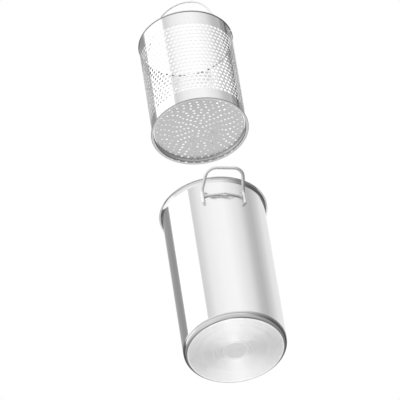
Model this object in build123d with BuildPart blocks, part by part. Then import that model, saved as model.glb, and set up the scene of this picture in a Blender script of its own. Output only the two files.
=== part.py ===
from build123d import *
import os
from math import asin, atan2, cos, degrees, pi, radians, sin, sqrt

os.makedirs("parts", exist_ok=True)

# Lengths are in millimetres and angles in degrees.
# Pot body: one drawn steel shell, open at the top, with a flared pouring lip.
pot_diameter = 160.0
pot_height = 282.0
pot_sheet = 0.8
floor_bend_radius = 4.0
lip_overhang = 4.5
lip_rise = 7.4

# Sandwich base: an aluminium core enclosed by a steel cap that ends on the shell's floor bend.
cap_sheet = 0.8
cap_seam = 0.25
cap_reach_share = 0.275
cap_corner_share = 0.76
core_thickness = 5.6
core_side_clearance = 0.1

# Side handles: a bent wire loop each, with a thin cross wire waving between the legs.
handle_facings = {"front": -90.0, "rear": 90.0}
handle_wire_diameter = 5.2
handle_foot_spacing = 65.0
handle_grip_width = 56.0
handle_foot_drop = 48.4
handle_foot_length = 25.0
handle_reach = 37.4
handle_rise = 15.0
handle_grip_bend_radius = 17.0
handle_foot_bend_radius = 7.0
cross_wire_diameter = 3.0
cross_wire_height_share = 0.58
cross_wire_weld_share = 0.58
cross_wire_bulge = 1.7
cross_wire_end_lift = 1.2
cross_wire_bend_radius = 6.0
cross_wire_end_gap = 0.1
weld_seam = 0.02

# Strainer wall: perforated sheet rolled in narrow flats, a column of holes on each flat.
basket_clearance = 1.8
basket_height = 191.1
basket_sheet = 0.6
basket_turn = -30.5
wall_hole_columns = 66
wall_hole_rows = 19
wall_hole_diameter = 5.4
top_band_height = 26.5
bottom_band_height = 23.9
basket_gap_above_pot = 172.5

# Strainer base: a shallow perforated tray, flange down, whose hem turns out under the wall.
hem_overhang = 2.55
hem_thickness = 1.4
hem_edge_share = 0.4
disc_recess = 6.4
tray_bend_radius = 2.0
tray_clearance = 0.03
disc_margin = 4.6
first_ring_radius = 5.5
disc_hole_diameter = 3.5
ring_hole_counts = (3, 6, 12, 14, 20, 22, 22, 25, 30, 35, 39)
ring_turn_shares = (0, 0, 0, 0, 0, 0.08, 0.08, 0.12, 0.14, 0, 0.76)

# Rim wire of the strainer, grooved to sit over the wall's top edge.
rim_wire_diameter = 2.5
rim_wire_grip = 0.35
rim_wire_clearance = 0.02

# Bail: one bent wire whose ends pass outward through the plain band.
bail_wire_diameter = 2.6
bail_arch_height = 94.6
bail_arch_radius = 48.0
bail_knee_radius = 2.6
bail_drop = 8.1
bail_side_gap = 0.9
bail_tip_overhang = 2.5
bail_hole_clearance = 0.06

# One overrun serves all cuts.
cut_overrun = 1.0

up = Vector(0, 0, 1)

pot_radius = pot_diameter / 2
inside_radius = pot_radius - pot_sheet
floor_underside = cap_sheet + core_thickness
floor_top = floor_underside + pot_sheet
inner_bend_radius = floor_bend_radius - pot_sheet

# The flare leaves the wall tangentially and ends square to its rounded lip.
flare_turn = 2 * atan2(lip_overhang, lip_rise)
flare_end_height = pot_height - pot_sheet / 2 * (1 + sin(flare_turn))
flare_start_height = flare_end_height - lip_rise

with BuildPart() as pot_shell:
    with BuildSketch(Plane.XZ):
        with BuildLine():
            underside = Line((0, floor_underside), (pot_radius - floor_bend_radius, floor_underside))
            bend_end = (pot_radius, floor_underside + floor_bend_radius)
            outer_bend = TangentArc(underside @ 1, bend_end, tangent=underside % 1)
            outer_wall = Line(outer_bend @ 1, (pot_radius, flare_start_height))
            flare_end = (pot_radius + lip_overhang, flare_end_height)
            outer_flare = TangentArc(outer_wall @ 1, flare_end, tangent=outer_wall % 1)
            across_lip = Vector(-cos(flare_turn), sin(flare_turn)) * pot_sheet
            along_lip = Vector(sin(flare_turn), cos(flare_turn)) * pot_sheet
            lip_start = outer_flare @ 1
            lip_end = lip_start + across_lip
            ThreePointArc(lip_start, lip_start + (across_lip + along_lip) / 2, lip_end)
            inner_flare = TangentArc((inside_radius, flare_start_height), lip_end, tangent=(0, 1))
            inner_wall = Line(inner_flare @ 0, (inside_radius, floor_top + inner_bend_radius))
            floor_edge = (inside_radius - inner_bend_radius, floor_top)
            inner_bend = TangentArc(inner_wall @ 1, floor_edge, tangent=inner_wall % 1)
            Line(inner_bend @ 1, (0, floor_top))
            Line((0, floor_top), underside @ 0)
        make_face()
    revolve(axis=Axis.Z)
pot_shell.part.label = "pot_shell"
export_step(pot_shell.part, "parts/pot_shell.step")

# The cap's upper edge meets the shell partway up the floor bend, and clears it by the seam.
cap_height = floor_underside + floor_bend_radius * cap_reach_share
bend_width_at_cap = floor_bend_radius * sqrt(1 - (1 - cap_reach_share) ** 2)
cap_inner_radius = pot_radius - floor_bend_radius + bend_width_at_cap + cap_seam
cap_corner_radius = cap_height * cap_corner_share

with BuildPart() as base_cap:
    with BuildSketch():
        Circle(cap_inner_radius + cap_sheet)
    extrude(amount=cap_height)
    fillet(base_cap.edges().group_by(Axis.Z)[0], cap_corner_radius)
    offset(amount=-cap_sheet, openings=base_cap.faces().sort_by(Axis.Z)[-1])
base_cap.part.label = "base_cap"
export_step(base_cap.part, "parts/base_cap.step")

with BuildPart() as base_core:
    with BuildSketch(Plane.XY.offset(cap_sheet)):
        Circle(cap_inner_radius - core_side_clearance)
    extrude(amount=core_thickness)
    fillet(base_core.edges().group_by(Axis.Z)[0], cap_corner_radius - cap_sheet)
base_core.part.label = "base_core"
export_step(base_core.part, "parts/base_core.step")

# The feet stand on the round wall, so their distance from the axis follows their spacing.
foot_side = handle_foot_spacing / 2
foot_radial = pot_radius + weld_seam + handle_wire_diameter / 2
foot_outward = sqrt(foot_radial**2 - foot_side**2)
foot_bottom = pot_height - handle_foot_drop
foot_top = foot_bottom + handle_foot_length
grip_side = handle_grip_width / 2
grip_outward = foot_outward + handle_reach
grip_height = foot_top + handle_rise

# The cross wire butts on both legs, dips to the wall at two welds and bulges between them.
cross_radial = pot_radius + weld_seam + cross_wire_diameter / 2
cross_height = foot_bottom + handle_foot_length * cross_wire_height_share
leg_half_angle = (handle_wire_diameter / 2 + cross_wire_end_gap) / foot_radial
cross_end_angle = atan2(foot_side, foot_outward) - leg_half_angle
cross_weld_angle = cross_end_angle * cross_wire_weld_share
cross_wire_wave = (
    (-cross_end_angle, cross_wire_end_lift),
    (-cross_weld_angle, 0),
    (0, cross_wire_bulge),
    (cross_weld_angle, 0),
    (cross_end_angle, cross_wire_end_lift),
)

for side, facing in handle_facings.items():
    outward = Vector(cos(radians(facing)), sin(radians(facing)))
    sideways = Vector(-sin(radians(facing)), cos(radians(facing)))

    with BuildPart() as loop:
        with BuildLine():
            loop_path = FilletPolyline(
                outward * foot_outward - sideways * foot_side + up * foot_bottom,
                outward * foot_outward - sideways * foot_side + up * foot_top,
                outward * grip_outward - sideways * grip_side + up * grip_height,
                outward * grip_outward + sideways * grip_side + up * grip_height,
                outward * foot_outward + sideways * foot_side + up * foot_top,
                outward * foot_outward + sideways * foot_side + up * foot_bottom,
                radius=(
                    handle_foot_bend_radius,
                    handle_grip_bend_radius,
                    handle_grip_bend_radius,
                    handle_foot_bend_radius,
                ),
            )
        with BuildSketch(loop_path ^ 0):
            Circle(handle_wire_diameter / 2)
        sweep()
    loop.part.label = f"handle_{side}_loop"
    export_step(loop.part, f"parts/handle_{side}_loop.step")

    with BuildPart() as cross_wire:
        with BuildLine():
            cross_path = FilletPolyline(
                [
                    (outward * cos(angle) + sideways * sin(angle)) * (cross_radial + lift) + up * cross_height
                    for angle, lift in cross_wire_wave
                ],
                radius=cross_wire_bend_radius,
            )
        with BuildSketch(cross_path ^ 0):
            Circle(cross_wire_diameter / 2)
        sweep()
    cross_wire.part.label = f"handle_{side}_cross_wire"
    export_step(cross_wire.part, f"parts/handle_{side}_cross_wire.step")

# The strainer is shown lifted out, on the pot's axis. Its own X axis runs through the bail's ends.
basket_plane = Plane(
    origin=up * (pot_height + basket_gap_above_pot),
    x_dir=(cos(radians(basket_turn)), sin(radians(basket_turn)), 0),
    z_dir=up,
)
hem_radius = inside_radius - basket_clearance
wall_corner_radius = hem_radius - hem_overhang
flat_angle = 2 * pi / wall_hole_columns
wall_flat_radius = wall_corner_radius * cos(flat_angle / 2)
wall_inner_radius = wall_flat_radius - basket_sheet
flat_turn = degrees(flat_angle / 2)
wall_top = basket_height - rim_wire_diameter / 2 + rim_wire_grip
pivot_height = basket_height - bail_drop
first_row_height = bottom_band_height + wall_hole_diameter / 2
last_row_height = basket_height - top_band_height - wall_hole_diameter / 2
row_pitch = (last_row_height - first_row_height) / (wall_hole_rows - 1)

with BuildPart() as basket_wall:
    with BuildSketch(basket_plane.offset(hem_thickness)):
        RegularPolygon(wall_flat_radius, wall_hole_columns, major_radius=False, rotation=flat_turn)
        RegularPolygon(
            wall_inner_radius, wall_hole_columns, major_radius=False, rotation=flat_turn, mode=Mode.SUBTRACT
        )
    extrude(amount=wall_top - hem_thickness)
    # Staggered rows: every second row is turned by half a column.
    hole_planes = []
    for row in range(wall_hole_rows):
        for column in range(wall_hole_columns):
            angle = radians(basket_turn) + (column + row % 2 / 2) * flat_angle
            direction = Vector(cos(angle), sin(angle))
            height = first_row_height + row * row_pitch
            centre = basket_plane.origin + up * height + direction * wall_flat_radius
            hole_planes.append(Plane(origin=centre, z_dir=direction))
    with Locations(*hole_planes):
        Cylinder(wall_hole_diameter / 2, 2 * (basket_sheet + cut_overrun), mode=Mode.SUBTRACT)
    # One drill through both sides makes the holes for the bail's ends.
    with Locations(Plane(origin=basket_plane.origin + up * pivot_height, z_dir=basket_plane.x_dir)):
        Cylinder(
            bail_wire_diameter / 2 + bail_hole_clearance,
            2 * (wall_corner_radius + cut_overrun),
            mode=Mode.SUBTRACT,
        )
basket_wall.part.label = "basket_wall"
export_step(basket_wall.part, "parts/basket_wall.step")

tray_radius = wall_inner_radius - tray_clearance
last_ring_radius = tray_radius - tray_bend_radius - disc_margin
ring_pitch = (last_ring_radius - first_ring_radius) / (len(ring_hole_counts) - 1)

with BuildPart() as basket_base:
    with BuildSketch(basket_plane):
        Circle(tray_radius)
    extrude(amount=disc_recess + basket_sheet)
    fillet(basket_base.edges().group_by(Axis.Z)[-1], tray_bend_radius)
    offset(amount=-basket_sheet, openings=basket_base.faces().sort_by(Axis.Z)[0])
    # The hem lies under the wall's lower edge and carries it.
    with BuildSketch(basket_plane):
        Circle(hem_radius)
        Circle(tray_radius - basket_sheet, mode=Mode.SUBTRACT)
    extrude(amount=hem_thickness)
    hem_edges = basket_base.edges().filter_by(GeomType.CIRCLE).sort_by(SortBy.RADIUS)[-2:]
    fillet(hem_edges, hem_thickness * hem_edge_share)
    # Rings of drain holes, each turned by its own share of a step.
    with BuildSketch(basket_plane.offset(disc_recess + basket_sheet)):
        for ring, (count, turn_share) in enumerate(zip(ring_hole_counts, ring_turn_shares)):
            ring_radius = first_ring_radius + ring * ring_pitch
            with PolarLocations(ring_radius, count, start_angle=360 / count * turn_share):
                Circle(disc_hole_diameter / 2)
    extrude(amount=-basket_sheet - cut_overrun, mode=Mode.SUBTRACT)
basket_base.part.label = "basket_base"
export_step(basket_base.part, "parts/basket_base.step")

rim_wire_plane = basket_plane.offset(basket_height - rim_wire_diameter / 2)

with BuildPart() as basket_rim_wire:
    with Locations(rim_wire_plane):
        Torus(wall_flat_radius - basket_sheet / 2, rim_wire_diameter / 2)
    # The groove follows the wall's flats, open at the bottom.
    with BuildSketch(basket_plane.offset(wall_top)):
        RegularPolygon(
            wall_flat_radius + rim_wire_clearance, wall_hole_columns, major_radius=False, rotation=flat_turn
        )
        RegularPolygon(
            wall_inner_radius - rim_wire_clearance,
            wall_hole_columns,
            major_radius=False,
            rotation=flat_turn,
            mode=Mode.SUBTRACT,
        )
    extrude(amount=-rim_wire_diameter, mode=Mode.SUBTRACT)
basket_rim_wire.part.label = "basket_rim_wire"
export_step(basket_rim_wire.part, "parts/basket_rim_wire.step")

# Each leg runs from its knee, tangent to the round arch, to the corner that the arch rounds off.
knee_side = wall_inner_radius - bail_side_gap - bail_wire_diameter / 2
tip_side = wall_corner_radius + bail_tip_overhang
arch_centre_height = bail_arch_height - bail_arch_radius
knee_to_centre = sqrt(knee_side**2 + arch_centre_height**2)
leg_slope = atan2(arch_centre_height, knee_side) + asin(bail_arch_radius / knee_to_centre)
corner_height = knee_side * sin(leg_slope) / cos(leg_slope)
bail_plane = Plane(
    origin=basket_plane.origin + up * pivot_height, x_dir=basket_plane.x_dir, z_dir=-basket_plane.y_dir
)

with BuildPart() as bail:
    with BuildLine(bail_plane):
        bail_path = FilletPolyline(
            (-tip_side, 0),
            (-knee_side, 0),
            (0, corner_height),
            (knee_side, 0),
            (tip_side, 0),
            radius=(bail_knee_radius, bail_arch_radius, bail_knee_radius),
        )
    with BuildSketch(bail_path ^ 0):
        Circle(bail_wire_diameter / 2)
    sweep()
bail.part.label = "bail"
export_step(bail.part, "parts/bail.step")
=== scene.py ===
from math import asin, atan2, cos, degrees, hypot, pi, radians, sin, sqrt, tan

import bmesh
import bpy
from mathutils import Matrix, Quaternion, Vector


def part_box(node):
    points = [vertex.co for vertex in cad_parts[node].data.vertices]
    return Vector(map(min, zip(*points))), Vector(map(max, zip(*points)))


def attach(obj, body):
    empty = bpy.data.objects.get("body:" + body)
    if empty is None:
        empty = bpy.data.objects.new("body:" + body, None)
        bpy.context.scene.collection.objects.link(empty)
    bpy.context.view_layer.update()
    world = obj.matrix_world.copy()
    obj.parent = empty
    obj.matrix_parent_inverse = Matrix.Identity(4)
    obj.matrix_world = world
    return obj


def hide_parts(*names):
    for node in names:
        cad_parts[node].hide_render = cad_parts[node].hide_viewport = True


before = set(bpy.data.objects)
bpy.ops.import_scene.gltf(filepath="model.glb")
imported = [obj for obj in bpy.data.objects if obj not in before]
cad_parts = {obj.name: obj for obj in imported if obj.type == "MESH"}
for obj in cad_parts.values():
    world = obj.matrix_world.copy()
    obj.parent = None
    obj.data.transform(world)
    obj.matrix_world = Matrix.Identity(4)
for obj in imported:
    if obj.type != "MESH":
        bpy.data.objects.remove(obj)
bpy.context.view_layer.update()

# Pot body. One sheet of stainless steel, deep drawn to a straight tube with a rounded floor edge,
# its mouth flared to a pouring lip and rounded over. It is polished outside, duller inside, and
# keeps the faint level lines of the polishing wheel.
mm = 0.001
pot_radius = 80 * mm
pot_sheet = 0.8 * mm
floor_bend = 4 * mm
lip_overhang = 4.5 * mm
flare_radius = 16 * mm
flare_turn = radians(28)
land_bend = 1 * mm
land_turn = radians(84)
turned_steps = 192
bend_steps = 8
merge_gap = 0.001 * mm
crease_angle = radians(30)
steel_grey = 0.86
pot_roughness = 0.1
pot_smear = 0.03
inside_metallic = 0.45
fine_line_spacing = 0.6 * mm
line_length = 125 * mm
line_depth = 0.002 * mm
smear_scale = 14


class Signal:
    """A shader socket that adds, subtracts, multiplies and divides like a number."""

    def __init__(self, tree, socket=None):
        self.tree = tree
        self.socket = socket

    def node(self, kind, inputs=None, output=0, stops=None, **settings):
        """Adds a node, gives it its settings, then the values or links of its inputs."""
        made = self.tree.nodes.new(kind)
        for name, value in settings.items():
            setattr(made, name, value)
        if stops:
            ramp = made.color_ramp
            ramp.elements.remove(ramp.elements[1])
            for count, (place, level) in enumerate(sorted(stops)):
                stop = ramp.elements.new(place) if count else ramp.elements[0]
                stop.position = place
                stop.color = (level, level, level, 1)
        for name, value in (inputs or {}).items():
            if isinstance(value, Signal):
                self.tree.links.new(value.socket, made.inputs[name])
            else:
                made.inputs[name].default_value = value
        return Signal(self.tree, made.outputs[output] if made.outputs else None)

    def maths(self, operation, first, second=0.0):
        return self.node("ShaderNodeMath", {0: first, 1: second}, operation=operation)

    def __add__(self, other):
        return self.maths("ADD", self, other)

    def __radd__(self, other):
        return self.maths("ADD", other, self)

    def __sub__(self, other):
        return self.maths("SUBTRACT", self, other)

    def __rsub__(self, other):
        return self.maths("SUBTRACT", other, self)

    def __mul__(self, other):
        return self.maths("MULTIPLY", self, other)

    def __rmul__(self, other):
        return self.maths("MULTIPLY", other, self)

    def __truediv__(self, other):
        return self.maths("DIVIDE", self, other)

    def between(self, low, high):
        """0 below low and 1 above high, with a smooth rise between them."""
        return self.node(
            "ShaderNodeMapRange",
            {"Value": self, "From Min": low, "From Max": high},
            interpolation_type="SMOOTHSTEP",
        )

    def place(self):
        """The place on the piece, in metres."""
        return self.node("ShaderNodeTexCoord", output="Object")

    def height(self):
        """The height of a place or a direction."""
        return self.node("ShaderNodeSeparateXYZ", {0: self}, output="Z")

    def outward(self):
        """A place without its height, which points straight out from the pot's axis."""
        return self.node("ShaderNodeVectorMath", {0: self, 1: (1, 1, 0)}, operation="MULTIPLY")

    def length(self):
        return self.node("ShaderNodeVectorMath", {0: self}, output="Value", operation="LENGTH")

    def unit(self):
        return self.node("ShaderNodeVectorMath", {0: self}, operation="NORMALIZE")

    def feed(self, socket):
        """Links the signal to a socket of the finish's own shader."""
        self.tree.links.new(self.socket, self.tree.nodes["Principled BSDF"].inputs[socket])


def even_finish(name, colour, roughness, metallic=1):
    """Starts a finish from one colour and roughness."""
    material = bpy.data.materials.new(name)
    material.use_nodes = True
    shader = material.node_tree.nodes["Principled BSDF"]
    shader.inputs["Base Color"].default_value = (*colour, 1)
    shader.inputs["Metallic"].default_value = metallic
    shader.inputs["Roughness"].default_value = roughness
    return material


def polished_steel(name, grey, roughness, line_spacing, smear):
    """Polished sheet or wire, with level wheel lines and a slow drift of its gloss."""
    material = even_finish(name, (grey, grey, grey), roughness)
    signal = Signal(material.node_tree)
    place = signal.place()
    stretch = (1 / line_length, 1 / line_length, 1 / line_spacing)
    along = signal.node("ShaderNodeMapping", {"Vector": place, "Scale": stretch})
    lines = signal.node("ShaderNodeTexNoise", {"Vector": along, "Scale": 1.0, "Detail": 2.0})
    drift = signal.node(
        "ShaderNodeTexNoise", {"Vector": place, "Scale": smear_scale, "Detail": 3.0}
    )
    gloss = roughness + smear * (drift - 0.5) + smear * (lines - 0.5)
    gloss.feed("Roughness")
    bump = signal.node(
        "ShaderNodeBump", {"Height": lines, "Strength": 1.0, "Distance": line_depth}
    )
    bump.feed("Normal")
    return material


def turned(start, moves):
    """Spins a profile round the pot's axis. A move is a straight to a radius and height, or a bend
    round a centre's radius and height by an angle in degrees, anticlockwise if positive."""
    shape = bmesh.new()
    tip = shape.verts.new((start[0], 0, start[1]))
    for move in moves:
        if len(move) == 2:
            tip = bmesh.ops.extrude_vert_indiv(shape, verts=[tip])["verts"][0]
            tip.co = (move[0], 0, move[1])
        else:
            made = bmesh.ops.spin(
                shape,
                geom=[tip],
                cent=(move[0], 0, move[1]),
                axis=(0, -1, 0),
                angle=radians(move[2]),
                steps=bend_steps,
            )
            tip = made["geom_last"][0]
    profile = shape.verts[:] + shape.edges[:]
    bmesh.ops.spin(
        shape,
        geom=profile,
        cent=(0, 0, 0),
        axis=(0, 0, 1),
        angle=2 * pi,
        steps=turned_steps,
        use_merge=True,
    )
    bmesh.ops.remove_doubles(shape, verts=shape.verts, dist=merge_gap)
    bmesh.ops.recalc_face_normals(shape, faces=shape.faces)
    return shape


def placed(shape, name, material):
    """Makes an object of a shape, in one material, and puts it in the scene."""
    mesh = bpy.data.meshes.new(name)
    shape.to_mesh(mesh)
    shape.free()
    mesh.materials.append(material)
    item = bpy.data.objects.new(name, mesh)
    bpy.context.scene.collection.objects.link(item)
    return item


def finished(shape, name, body, node, material):
    """Makes a smooth piece of a shape. It rides on its body and stands for its CAD node."""
    piece = placed(shape, name, material)
    piece.data.shade_smooth()
    piece.data.set_sharp_from_angle(angle=crease_angle)
    piece.modifiers.new("even_normals", "WEIGHTED_NORMAL").keep_sharp = True
    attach(piece, body)
    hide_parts(node)


# The land is the lip's flat end, which the flare turns into by a tight bend.
floor_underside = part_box("pot_shell")[0].z
pot_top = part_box("pot_shell")[1].z
floor_top = floor_underside + pot_sheet
lip_radius = pot_radius + lip_overhang - pot_sheet / 2
lip_height = pot_top - pot_sheet / 2
lip_under_radius = lip_radius + pot_sheet / 2 * cos(land_turn)
lip_under_height = lip_height - pot_sheet / 2 * sin(land_turn)
land_radius = (
    pot_radius
    + flare_radius * (1 - cos(flare_turn))
    + land_bend * (cos(flare_turn) - cos(land_turn))
)
land_height = lip_under_height - (lip_under_radius - land_radius) / tan(land_turn)
bend_centre_radius = land_radius + land_bend * cos(land_turn)
bend_centre_height = land_height - land_bend * sin(land_turn)
flare_start = bend_centre_height - (flare_radius - land_bend) * sin(flare_turn)
pot = turned(
    (0, floor_underside),
    [
        (pot_radius - floor_bend, floor_underside),
        (pot_radius - floor_bend, floor_underside + floor_bend, 90),
        (pot_radius, flare_start),
        (pot_radius + flare_radius, flare_start, -degrees(flare_turn)),
        (bend_centre_radius, bend_centre_height, -degrees(land_turn - flare_turn)),
        (lip_under_radius, lip_under_height),
        (lip_radius, lip_height, 180),
        (land_radius - pot_sheet * cos(land_turn), land_height + pot_sheet * sin(land_turn)),
        (bend_centre_radius, bend_centre_height, degrees(land_turn - flare_turn)),
        (pot_radius + flare_radius, flare_start, degrees(flare_turn)),
        (pot_radius - pot_sheet, floor_underside + floor_bend),
        (pot_radius - floor_bend, floor_underside + floor_bend, -90),
        (0, floor_top),
    ],
)
pot_finish = polished_steel("pot_polish", steel_grey, pot_roughness, fine_line_spacing, pot_smear)
pot_reach = Signal(pot_finish.node_tree).place().outward().length()
outside = pot_reach.between(pot_radius - 0.6 * pot_sheet, pot_radius - 0.4 * pot_sheet)
pot_metallic = inside_metallic + (1 - inside_metallic) * outside
pot_metallic.feed("Metallic")
finished(pot, "pot_body", "pot", "pot_shell", pot_finish)

# Base cap. A steel dish pressed over the aluminium core and bonded to the floor. Its side and
# corner are polished, with a painted shadow along the top where it meets the floor, and its flat
# underside is faced on a lathe, so fine grooves run round it, outside one shallow ring with painted
# shade and a plain middle.
cap_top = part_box("base_cap")[1].z
cap_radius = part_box("base_cap")[1].x
cap_sheet = 0.8 * mm
cap_corner = 6.5 * mm
cap_side_turn = radians(30)
cap_edge = 0.25 * mm
cap_roughness = 0.12
faced_roughness = 0.2
middle_dullness = 0.2
groove_spacing = 0.01 * mm
groove_slope = 0.6
middle_slope_share = 0.35
middle_ring_radius = 21 * mm
middle_ring_width = 0.9 * mm
middle_ring_painted_shade = 0.14
middle_shade = 0.06
facing_blend = 0.1 * mm
corner_grey = 0.8
seam_shadow_grey = 0.45
seam_shadow_width = 1.8 * mm

# The side curves in slowly, then the corner turns tightly under to the flat.
flat_radius = cap_radius - cap_corner
cap_rise = cap_top - cap_edge
side_lean = (1 - cos(cap_side_turn)) / sin(cap_side_turn)
corner_radius = (cap_corner - side_lean * cap_rise) / (
    cos(cap_side_turn) - side_lean * (1 - sin(cap_side_turn))
)
side_radius = (cap_rise - corner_radius * (1 - sin(cap_side_turn))) / sin(cap_side_turn)
cap = turned(
    (0, 0),
    [
        (flat_radius, 0),
        (flat_radius, corner_radius, 90 - degrees(cap_side_turn)),
        (cap_radius - side_radius, cap_rise, degrees(cap_side_turn)),
        (cap_radius - cap_edge, cap_rise, 90),
        (cap_radius - cap_sheet, cap_top),
        (cap_radius - cap_sheet, cap_corner),
        (flat_radius, cap_corner, -90),
        (0, cap_sheet),
    ],
)
cap_finish = even_finish("base_turned", (steel_grey, steel_grey, steel_grey), cap_roughness)
cap_signal = Signal(cap_finish.node_tree)
cap_place = cap_signal.place()
cap_outward = cap_place.outward()
cap_reach = cap_outward.length()
faced = 1 - cap_reach.between(flat_radius - facing_blend, flat_radius + facing_blend)
grooved = cap_reach.between(middle_ring_radius * 0.8, middle_ring_radius)
ring = cap_signal.maths("ABSOLUTE", cap_reach - middle_ring_radius)
ring = 1 - ring.between(0, middle_ring_width)
# Painted shadow: the top edge of the side is painted darker, for the shade in the gap where the cap
# meets the floor.
seam = cap_place.height().between(cap_top - seam_shadow_width, cap_top - seam_shadow_width * 0.6)
side_grey = corner_grey - (corner_grey - seam_shadow_grey) * seam
# Painted shade: the shallow ring round the middle is painted darker, for the shade in its groove.
faced_grey = steel_grey - middle_ring_painted_shade * ring - middle_shade * (1 - grooved)
cap_grey = side_grey + (faced_grey - side_grey) * faced
cap_grey.feed("Base Color")
cap_gloss = (
    cap_roughness
    + (faced_roughness - cap_roughness) * faced
    + middle_dullness * (1 - grooved)
)
cap_gloss.feed("Roughness")
# Each groove's wall leans in or out by a chance slope, and turns the surface that way.
groove = cap_signal.maths("FLOOR", cap_reach / groove_spacing)
chance = cap_signal.node("ShaderNodeTexWhiteNoise", {"W": groove}, noise_dimensions="1D")
slope_share = middle_slope_share + (1 - middle_slope_share) * grooved
slope = (chance - 0.5) * groove_slope * faced * slope_share
tilt = cap_signal.node(
    "ShaderNodeVectorMath", {0: cap_outward.unit(), "Scale": slope}, operation="SCALE"
)
flat_normal = cap_signal.node("ShaderNodeNewGeometry", output="Normal")
leaning = cap_signal.node("ShaderNodeVectorMath", {0: flat_normal, 1: tilt}, operation="ADD")
leaning.unit().feed("Normal")
finished(cap, "base_cap_dish", "pot", "base_cap", cap_finish)

# Base core. A plain aluminium disc shut inside the cap. It can't be seen, so its solid stays as it
# is and only gets the matt grey of rolled plate.
core_grey = (0.75, 0.76, 0.77)
core_roughness = 0.4
core_grain_scale = 300
core_grain_share = 0.15
core_finish = even_finish("core_plate", core_grey, core_roughness)
core_signal = Signal(core_finish.node_tree)
core_grain = core_signal.node(
    "ShaderNodeTexNoise", {"Vector": core_signal.place(), "Scale": core_grain_scale}
)
core_gloss = core_roughness + core_grain_share * core_grain
core_gloss.feed("Roughness")
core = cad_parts["base_core"]
core.data.materials.clear()
core.data.materials.append(core_finish)

# Side handles. Each is one bright drawn wire bent to a loop, its feet spot welded upright on the
# wall, with a thinner wire between the feet that waves in to the wall at two welds.
loop_wire = 5.2 * mm
foot_spacing = 65 * mm
grip_width = 56 * mm
foot_drop = 48.4 * mm
foot_length = 25 * mm
grip_reach = 37.4 * mm
grip_rise = 15 * mm
grip_bend = 17 * mm
foot_bend = 7 * mm
weld_seam = 0.02 * mm
cross_wire = 3 * mm
cross_height_share = 0.58
cross_weld_share = 0.58
cross_bulge = 1.7 * mm
cross_end_lift = 1.2 * mm
cross_bend = 6 * mm
cross_end_gap = 0.1 * mm
wire_sides = 20
wire_bend_steps = 10
wire_end_round = 0.4 * mm
wire_line_spacing = 2 * mm
wire_grey = 0.95
wire_roughness = 0.42
wire_smear = 0.05


def bent_wire(diameter, corners, bends):
    """Draws a round wire along its corners, spun round each one by its bend radius."""
    shape = bmesh.new()
    heading = (corners[1] - corners[0]).normalized()
    stand = Matrix.Translation(corners[0]) @ heading.to_track_quat("Z", "Y").to_matrix().to_4x4()
    ring = bmesh.ops.create_circle(shape, segments=wire_sides, radius=diameter / 2, matrix=stand)
    edges = list({edge for vert in ring["verts"] for edge in vert.link_edges})
    ends = [edges]
    here = corners[0]
    for count, corner in enumerate(corners[1:]):
        heading = (corner - here).normalized()
        onward = corners[count + 2] - corner if count < len(bends) else heading
        turn = heading.angle(onward)
        bend = bends[count] if count < len(bends) else 0
        straight = corner - heading * bend * tan(turn / 2)
        made = bmesh.ops.extrude_edge_only(shape, edges=edges)["geom"]
        verts = [part for part in made if isinstance(part, bmesh.types.BMVert)]
        edges = [part for part in made if isinstance(part, bmesh.types.BMEdge)]
        edges = [edge for edge in edges if all(vert in verts for vert in edge.verts)]
        bmesh.ops.translate(shape, verts=verts, vec=straight - here)
        here = straight
        if count < len(bends):
            axis = heading.cross(onward).normalized()
            centre = straight + axis.cross(heading) * bend
            made = bmesh.ops.spin(
                shape, geom=edges, cent=centre, axis=axis, angle=turn, steps=wire_bend_steps
            )["geom_last"]
            edges = [part for part in made if isinstance(part, bmesh.types.BMEdge)]
            here = corner + onward.normalized() * bend * tan(turn / 2)
    ends.append(edges)
    for end in ends:
        bmesh.ops.contextual_create(shape, geom=end)
    bmesh.ops.bevel(
        shape,
        geom=ends[0] + ends[1],
        offset=wire_end_round,
        segments=2,
        profile=0.5,
        affect="EDGES",
        material=-1,
    )
    bmesh.ops.recalc_face_normals(shape, faces=shape.faces)
    return shape


wire_finish = polished_steel(
    "wire_polish", wire_grey, wire_roughness, wire_line_spacing, wire_smear
)
foot_radial = pot_radius + weld_seam + loop_wire / 2
foot_outward = sqrt(foot_radial**2 - (foot_spacing / 2) ** 2)
foot_bottom = pot_top - foot_drop
foot_top = foot_bottom + foot_length
cross_radial = pot_radius + weld_seam + cross_wire / 2
cross_height = foot_bottom + foot_length * cross_height_share
cross_end = asin(foot_spacing / 2 / foot_radial) - (loop_wire / 2 + cross_end_gap) / foot_radial
cross_weld = cross_end * cross_weld_share

for side, outward in (("front", Vector((0, -1, 0))), ("rear", Vector((0, 1, 0)))):
    sideways = Vector((0, 0, 1)).cross(outward)
    half_loop = [
        (foot_spacing / 2, foot_outward, foot_bottom),
        (foot_spacing / 2, foot_outward, foot_top),
        (grip_width / 2, foot_outward + grip_reach, foot_top + grip_rise),
    ]
    loop_corners = [
        sideways * -across + outward * out + Vector((0, 0, height))
        for across, out, height in half_loop
    ] + [
        sideways * across + outward * out + Vector((0, 0, height))
        for across, out, height in reversed(half_loop)
    ]
    loop = bent_wire(loop_wire, loop_corners, [foot_bend, grip_bend, grip_bend, foot_bend])
    loop_node = f"handle_{side}_loop"
    finished(loop, f"{side}_grip_wire", "pot", loop_node, wire_finish)

    wave = [
        (-cross_end, cross_end_lift),
        (-cross_weld, 0),
        (0, cross_bulge),
        (cross_weld, 0),
        (cross_end, cross_end_lift),
    ]
    cross_corners = [
        (outward * cos(turn) + sideways * sin(turn)) * (cross_radial + lift)
        + Vector((0, 0, cross_height))
        for turn, lift in wave
    ]
    cross = bent_wire(cross_wire, cross_corners, [cross_bend] * 3)
    cross_node = f"handle_{side}_cross_wire"
    finished(cross, f"{side}_waved_wire", "pot", cross_node, wire_finish)
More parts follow.
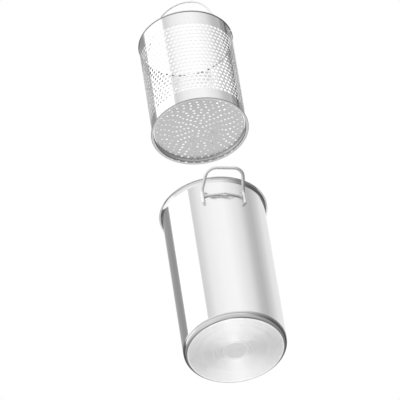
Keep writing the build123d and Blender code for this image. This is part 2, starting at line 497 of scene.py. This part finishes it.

# Strainer wall. Thin stainless sheet, punched with staggered round holes between two plain bands,
# rolled to a tube and welded. It is polished like the pot, and the punched part is painted brighter,
# painted light for the light seen through its holes.
basket_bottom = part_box("basket_base")[0].z
basket_turn = radians(-30.5)
basket_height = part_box("basket_rim_wire")[1].z - basket_bottom
wall_radius = 74.8 * mm
wall_sheet = 0.5 * mm
hole_columns = 66
hole_rows = 19
hole_radius = 2.7 * mm
top_band = 26.5 * mm
bottom_band = 23.9 * mm
hem_thickness = 1.4 * mm
bail_drop = 8.1 * mm
bail_hole_radius = 1.36 * mm
rim_wire_radius = 1.25 * mm
hole_sides = 16
level_gap = 0.01 * mm
wall_roughness = 0.14
punched_light_grey = 0.97
field_blend = 1 * mm

column_width = 2 * pi * wall_radius / hole_columns
first_row = bottom_band + hole_radius
last_row = basket_height - top_band - hole_radius
row_pitch = (last_row - first_row) / (hole_rows - 1)
wall_top = basket_height - rim_wire_radius
pivot_height = basket_height - bail_drop


def holed_cell(shape, radius, column, height):
    """Adds one flat cell of the sheet with a round hole, its outline a column wide and a row high."""
    middle = Matrix.Translation((column * column_width, height, 0))
    ring = bmesh.ops.create_circle(shape, segments=hole_sides, radius=radius, matrix=middle)
    edges = list({edge for vert in ring["verts"] for edge in vert.link_edges})
    made = bmesh.ops.extrude_edge_only(shape, edges=edges)["geom"]
    outline = [part for part in made if isinstance(part, bmesh.types.BMVert)]
    for vert in outline:
        offset = vert.co - middle.translation
        turn = atan2(offset.y, offset.x) / (pi / 4)
        quarter = round(turn / 2)
        side = Matrix.Rotation(quarter * pi / 2, 3, "Z") @ Vector((1, turn - 2 * quarter, 0))
        vert.co = middle @ Vector((side.x * column_width / 2, side.y * row_pitch / 2, 0))


def copied(shape, part, across, up):
    """Adds a copy of part of the flat sheet, moved across and up."""
    copy = bmesh.ops.duplicate(shape, geom=part)["geom"]
    verts = [item for item in copy if isinstance(item, bmesh.types.BMVert)]
    bmesh.ops.translate(shape, verts=verts, vec=(across, up, 0))


def rolled(shape):
    """Rolls a flat sheet into the strainer's tube, its first column on the bail's axis."""
    for vert in shape.verts:
        turn = basket_turn + vert.co.x / wall_radius
        vert.co = (
            wall_radius * cos(turn),
            wall_radius * sin(turn),
            basket_bottom + vert.co.y,
        )


def open_edges(shape, level):
    """The shape's open edges at one level."""
    return [
        edge
        for edge in shape.edges
        if edge.is_boundary and all(abs(vert.co.z - level) < level_gap for vert in edge.verts)
    ]


def raised_edge(shape, level, rise):
    """Extrudes the open edge at one level of the tube straight up, or down if rise is negative."""
    made = bmesh.ops.extrude_edge_only(shape, edges=open_edges(shape, level))["geom"]
    verts = [part for part in made if isinstance(part, bmesh.types.BMVert)]
    bmesh.ops.translate(shape, verts=verts, vec=(0, 0, rise))
    return level + rise


wall = bmesh.new()
holed_cell(wall, hole_radius, 0, first_row)
cell = wall.verts[:] + wall.edges[:] + wall.faces[:]
for column in range(1, hole_columns):
    copied(wall, cell, column * column_width, 0)
row_of_cells = wall.verts[:] + wall.edges[:] + wall.faces[:]
for row in range(1, hole_rows):
    copied(wall, row_of_cells, row % 2 * column_width / 2, row * row_pitch)
rolled(wall)
bmesh.ops.remove_doubles(wall, verts=wall.verts, dist=level_gap)
lower_edge = basket_bottom + first_row - row_pitch / 2
raised_edge(wall, lower_edge, basket_bottom + hem_thickness - lower_edge)
level = basket_bottom + last_row + row_pitch / 2
level = raised_edge(wall, level, basket_bottom + pivot_height - row_pitch / 2 - level)
for quarter in range(4):
    level = raised_edge(wall, level, row_pitch / 4)
raised_edge(wall, level, basket_bottom + wall_top - level)
# The two cells on the bail's axis give way to cells with the holes for its ends.
bail_axis = Vector((cos(basket_turn), sin(basket_turn), 0))
in_the_way = [
    face
    for face in wall.faces
    if abs(face.calc_center_median().z - basket_bottom - pivot_height) < row_pitch / 2
    and abs(face.calc_center_median().cross(bail_axis).z) < column_width / 2
]
bmesh.ops.delete(wall, geom=in_the_way, context="FACES")
bail_cells = bmesh.new()
holed_cell(bail_cells, bail_hole_radius, 0, pivot_height)
holed_cell(bail_cells, bail_hole_radius, hole_columns / 2, pivot_height)
rolled(bail_cells)
spare = bpy.data.meshes.new("bail_cells")
bail_cells.to_mesh(spare)
bail_cells.free()
wall.from_mesh(spare)
bpy.data.meshes.remove(spare)
bmesh.ops.remove_doubles(wall, verts=wall.verts, dist=level_gap)
bmesh.ops.recalc_face_normals(wall, faces=wall.faces)
bmesh.ops.solidify(wall, geom=wall.faces[:], thickness=wall_sheet)
bmesh.ops.recalc_face_normals(wall, faces=wall.faces)

wall_finish = polished_steel(
    "strainer_polish", steel_grey, wall_roughness, fine_line_spacing, pot_smear
)
field_low = basket_bottom + first_row - hole_radius
field_high = basket_bottom + last_row + hole_radius
sheet_height = Signal(wall_finish.node_tree).place().height()
# Painted light: the punched field between the bands is painted brighter than the plain bands, for the
# light that shows through its holes.
field = sheet_height.between(field_low, field_low + field_blend)
field = field * (1 - sheet_height.between(field_high - field_blend, field_high))
wall_grey = steel_grey + (punched_light_grey - steel_grey) * field
wall_grey.feed("Base Color")
finished(wall, "punched_wall", "basket", "basket_wall", wall_finish)

# Strainer base. A shallow tray of the same sheet set upside down in the wall: a flat disc punched
# with rings of drain holes, a rounded edge, a flange, and a hem turned out under the wall. The
# disc is satin, the rounded edge and the punched edges are bright, and the flange's outside and the
# hem are painted nearly black, a painted shade for their dark reflection.
hem_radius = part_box("basket_base")[1].x
tray_radius = 74.13 * mm
tray_bend = 2 * mm
disc_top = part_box("basket_base")[1].z
disc_sheet = 0.6 * mm
hem_round = 0.56 * mm
drain_radius = 1.9 * mm
first_ring = 5.5 * mm
disc_margin = 4.6 * mm
bright_edge = 0.8 * mm
ring_counts = (3, 6, 12, 14, 20, 22, 22, 25, 30, 35, 39)
ring_turn_shares = (0, 0, 0, 0, 0, 0.08, 0.08, 0.12, 0.14, 0, 0.76)
drain_sides = 12
disc_grey = 0.48
disc_roughness = 0.3
grain_scale = 900
grain_share = 0.06
bright_gain = 0.3
bright_roughness = 0.12
hem_painted_shade = 0.4
hem_start = 0.1 * mm
hem_blend = 0.2 * mm
punched_gain = 0.4
punched_margin = 2 * mm

tray_inner = tray_radius - disc_sheet
bend_radial = tray_radius - tray_bend
bend_height = disc_top - tray_bend
tray = turned(
    (bend_radial - bright_edge, disc_top),
    [
        (bend_radial, disc_top),
        (bend_radial, bend_height, -90),
        (tray_radius, basket_bottom + hem_thickness),
        (hem_radius - hem_round, basket_bottom + hem_thickness),
        (hem_radius - hem_round, basket_bottom + hem_thickness - hem_round, -90),
        (hem_radius, basket_bottom + hem_round),
        (hem_radius - hem_round, basket_bottom + hem_round, -90),
        (tray_inner, basket_bottom),
        (tray_inner, bend_height),
        (bend_radial, bend_height, 90),
        (bend_radial - bright_edge, disc_top - disc_sheet),
    ],
)
last_ring = bend_radial - disc_margin
ring_pitch = (last_ring - first_ring) / (len(ring_counts) - 1)
drain_edges = []
for ring, (count, turn_share) in enumerate(zip(ring_counts, ring_turn_shares)):
    for drain in range(count):
        turn = basket_turn + 2 * pi * (drain + turn_share) / count
        reach = first_ring + ring * ring_pitch
        middle = Matrix.Translation((reach * cos(turn), reach * sin(turn), disc_top - disc_sheet))
        made = bmesh.ops.create_circle(
            tray, segments=drain_sides, radius=drain_radius, matrix=middle
        )["verts"]
        drain_edges += list({edge for vert in made for edge in vert.link_edges})
made = bmesh.ops.extrude_edge_only(tray, edges=drain_edges)["geom"]
verts = [part for part in made if isinstance(part, bmesh.types.BMVert)]
bmesh.ops.translate(tray, verts=verts, vec=(0, 0, disc_sheet))
for level in (disc_top - disc_sheet, disc_top):
    bmesh.ops.triangle_fill(tray, edges=open_edges(tray, level), use_beauty=True)
bmesh.ops.recalc_face_normals(tray, faces=tray.faces)

disc_finish = even_finish("drain_disc_satin", (disc_grey, disc_grey, disc_grey), disc_roughness)
disc_signal = Signal(disc_finish.node_tree)
disc_place = disc_signal.place()
disc_reach = disc_place.outward().length()
grain = disc_signal.node("ShaderNodeTexNoise", {"Vector": disc_place, "Scale": grain_scale})
bright = disc_reach.between(bend_radial - bright_edge, bend_radial - bright_edge * 0.8)
hem = disc_reach.between(tray_inner + hem_start, tray_inner + hem_start + hem_blend)
punched = disc_place.height().between(disc_top - 0.95 * disc_sheet, disc_top - 0.9 * disc_sheet)
beyond_drains = disc_reach.between(last_ring + punched_margin, last_ring + 1.1 * punched_margin)
punched = punched * (1 - beyond_drains)
# Painted shade: the flange's outside and the hem are painted nearly black, for the dark reflection on
# that skirt.
disc_shade = (
    disc_grey
    + grain_share * grain
    + bright_gain * bright
    - hem_painted_shade * hem
    + punched_gain * punched
)
disc_shade.feed("Base Color")
disc_gloss = disc_roughness - (disc_roughness - bright_roughness) * bright
disc_gloss.feed("Roughness")
finished(tray, "drain_tray", "basket", "basket_base", disc_finish)

# Rim of the strainer. A bead of steel runs round the wall's top edge and stiffens it. Its grey is
# painted dark, a painted shade for the dark line along the rim. It is polished as finely as the wall.
rim_shade_grey = 0.42
rim_roughness = 0.16
rim_smear = 0.04
bead_radial = wall_radius - wall_sheet / 2
bead_height = basket_bottom + basket_height - rim_wire_radius
bead = turned(
    (bead_radial + rim_wire_radius, bead_height),
    [(bead_radial, bead_height, 180), (bead_radial, bead_height, 180)],
)
rim_finish = polished_steel("rim_polish", rim_shade_grey, rim_roughness, wire_line_spacing, rim_smear)
finished(bead, "rim_bead", "basket", "basket_rim_wire", rim_finish)

# Bail. One springy wire, bent to a round arch with straight legs, its ends turned out through the
# two holes in the top band, where it swings.
bail_wire = 2.6 * mm
arch_height = 94.57 * mm
arch_radius = 48 * mm
knee_radius = 2.6 * mm
knee_side = 71.965 * mm
tip_side = 77.35 * mm
bail_grey = 0.97
bail_roughness = 0.5
arch_centre = arch_height - arch_radius
leg_slope = atan2(arch_centre, knee_side) + asin(arch_radius / hypot(knee_side, arch_centre))
pivot = Vector((0, 0, basket_bottom + pivot_height))
bail_corners = [
    pivot + bail_axis * across + Vector((0, 0, height))
    for across, height in (
        (-tip_side, 0),
        (-knee_side, 0),
        (0, knee_side * tan(leg_slope)),
        (knee_side, 0),
        (tip_side, 0),
    )
]
bail = bent_wire(bail_wire, bail_corners, [knee_radius, arch_radius, knee_radius])
bail_finish = polished_steel(
    "bail_polish", bail_grey, bail_roughness, wire_line_spacing, wire_smear
)
finished(bail, "swing_bail", "bail", "bail", bail_finish)

# Floor. A pale studio surface for the views from above, which takes the shadow there and fades out
# round the object. The main camera looks up from under it, so there it doesn't show.
floor_half = 20
floor_gap = 0.2 * mm
floor_clear = 0.3
floor_faded = 1.3
floor_grey = 0.9
floor_shape = bmesh.new()
bmesh.ops.create_grid(floor_shape, x_segments=1, y_segments=1, size=floor_half)
bmesh.ops.translate(floor_shape, verts=floor_shape.verts, vec=(0, 0, -floor_gap))
floor_finish = bpy.data.materials.new("floor_paper")
floor_finish.use_nodes = True
floor_finish.node_tree.nodes.clear()
floor_signal = Signal(floor_finish.node_tree)
seen = floor_signal.node("ShaderNodeLightPath", output="Is Camera Ray")
below = floor_signal.node("ShaderNodeNewGeometry", output="Backfacing")
faded = floor_signal.place().length().between(floor_clear, floor_faded)
paper = floor_signal.node(
    "ShaderNodeBsdfDiffuse", {"Color": (floor_grey, floor_grey, floor_grey, 1)}
)
clear = floor_signal.node("ShaderNodeBsdfTransparent")
paper_share = seen * (1 - below) * (1 - faded)
shown = floor_signal.node("ShaderNodeMixShader", {"Fac": paper_share, 1: clear, 2: paper})
floor_signal.node("ShaderNodeOutputMaterial", {"Surface": shown})
placed(floor_shape, "floor", floor_finish)

# Studio. A white room with a tall softbox to the left of the camera, grey cards beside and behind
# the object, and a paler wall to the right. The camera sees the room as plain white. Each list
# gives turns in degrees from the camera's side, positive to the right, and the brightness there.
camera_side = radians(14.9)
studio_top = (
    (-180, 0.9), (-168, 0.5), (-150, 0.36), (-130, 0.32), (-115.5, 0.34), (-113.5, 1.35),
    (-51, 1.35), (-49, 0.7), (-40, 0.78), (-26, 0.95), (0, 1.05), (24, 1.07), (40, 0.98),
    (60, 0.85), (78, 0.6), (92, 0.54), (110, 0.68), (130, 0.87), (180, 0.9),
)
studio_level = (
    (-180, 0.3), (-150, 0.1), (-116, 0.12), (-113, 1.1), (-80, 1.1), (-74, 0.9), (-48, 0.95),
    (-20, 0.95), (25, 0.9), (60, 0.3), (85, 0.12), (150, 0.1), (180, 0.3),
)
studio_low = (
    (-180, 1.35), (-174, 1.3), (-164, 0.36), (-145, 0.2), (-90, 0.7), (-50, 0.85), (-20, 0.72),
    (40, 0.62), (90, 0.35), (145, 0.2), (164, 0.36), (174, 1.3), (180, 1.35),
)
# Heights in the room are those of a direction 1 long, from -1 straight down to 1 straight up.
underfoot_zone = (-0.99, -0.85)
underfoot_share = 0.6
low_zone = (-0.3, -0.14)
top_zone = (0.52, 0.62)
horizon_rise = (-0.14, -0.08)
horizon_fall = (-0.02, 0.04)
horizon_share = 0.6

world = bpy.data.worlds.new("studio")
bpy.context.scene.world = world
world.use_nodes = True
world.node_tree.nodes.clear()
studio = Signal(world.node_tree)
direction = studio.node("ShaderNodeTexCoord", output="Generated")


def along(axis):
    """How far the direction goes along an axis."""
    return studio.node(
        "ShaderNodeVectorMath", {0: direction, 1: axis}, output="Value", operation="DOT_PRODUCT"
    )


towards = along((-sin(camera_side), -cos(camera_side), 0))
rightwards = along((cos(camera_side), -sin(camera_side), 0))
round_share = studio.maths("ARCTAN2", rightwards, towards) / (2 * pi) + 0.5


def cards(stops):
    """The brightness round the room, for stops that are turns from the camera and their levels."""
    shares = [(turn / 360 + 0.5, level) for turn, level in stops]
    return studio.node("ShaderNodeValToRGB", {"Fac": round_share}, stops=shares)


height = direction.height()
low = cards(studio_low)
low = low * (underfoot_share + (1 - underfoot_share) * height.between(*underfoot_zone))
level = cards(studio_level)
top = cards(studio_top)
lower = low + (level - low) * height.between(*low_zone)
room = lower + (top - lower) * height.between(*top_zone)
horizon = height.between(*horizon_rise) * (1 - height.between(*horizon_fall))
room = room * (1 - (1 - horizon_share) * horizon)
to_camera = studio.node("ShaderNodeLightPath", output="Is Camera Ray")
backdrop = studio.node(
    "ShaderNodeMix", {"Factor": to_camera, "A": room, "B": 1.0}, data_type="FLOAT"
)
shine = studio.node("ShaderNodeBackground", {"Color": backdrop, "Strength": 1.0})
studio.node("ShaderNodeOutputWorld", {"Surface": shine})

# Two curved flags hang high on the right and a pale card on the left, where only the strainer
# mirrors them: each one's distance, lowest and highest edge in metres, first and last turn from
# the camera's side in degrees, and grey.
flag_steps = 12
for name, reach, flag_low, flag_high, start, end, flag_grey in (
    ("grey_flag", 0.8, 1.07, 1.5, 98, 154, 0.28),
    ("black_flag", 0.78, 1.07, 1.5, 116, 123, 0.05),
    ("pale_card", 0.3, 0.725, 0.845, -170, -108, 0.85),
):
    flag_shape = bmesh.new()
    corners = [flag_shape.verts.new((reach, 0, z)) for z in (flag_low, flag_high)]
    side = [bmesh.ops.contextual_create(flag_shape, geom=corners)["edges"][0]] + corners
    bmesh.ops.rotate(
        flag_shape,
        verts=corners,
        matrix=Matrix.Rotation(radians(start - 90) - camera_side, 3, "Z"),
    )
    bmesh.ops.spin(
        flag_shape,
        geom=side,
        cent=(0, 0, 0),
        axis=(0, 0, 1),
        angle=radians(end - start),
        steps=flag_steps,
    )
    flag_cloth = even_finish(name, (flag_grey, flag_grey, flag_grey), 1, metallic=0)
    flag = placed(flag_shape, name, flag_cloth)
    flag.visible_camera = False
    flag.visible_diffuse = False
    flag.visible_shadow = False

# A round softbox overhead gives the soft shadow on the floor. The steel doesn't mirror it.
lamp_power = 40
lamp_width = 1.6
lamp_place = Vector((-0.8, -0.6, 2.6))
lamp_aim = Vector((0, 0, 0.3))
lamp_data = bpy.data.lights.new("overhead_softbox", "AREA")
lamp_data.energy = lamp_power
lamp_data.shape = "DISK"
lamp_data.size = lamp_width
lamp = bpy.data.objects.new("overhead_softbox", lamp_data)
lamp.location = lamp_place
lamp.rotation_mode = "QUATERNION"
lamp.rotation_quaternion = (lamp_aim - lamp_place).to_track_quat("-Z", "Y")
lamp.visible_glossy = False
bpy.context.scene.collection.objects.link(lamp)

# Camera. It stands below and to the left of the front handle and looks up through a long lens, a
# little tipped over, as the photograph does.
lens_length = 585
sensor_width = 36
camera_distance = 7.59235
camera_depth = 6.36615
camera_aim = Vector((0, 0.06719, 0.370067))
camera_roll = radians(-9.19)
camera_data = bpy.data.cameras.new("camera")
camera_data.lens = lens_length
camera_data.sensor_width = sensor_width
camera = bpy.data.objects.new("camera", camera_data)
camera.location = (
    -camera_distance * sin(camera_side),
    -camera_distance * cos(camera_side),
    -camera_depth,
)
look = (camera_aim - camera.location).to_track_quat("-Z", "Y")
camera.rotation_mode = "QUATERNION"
camera.rotation_quaternion = look @ Quaternion((0, 0, 1), camera_roll)
bpy.context.scene.collection.objects.link(camera)
bpy.context.scene.camera = camera
bpy.context.scene.view_settings.view_transform = "Standard"
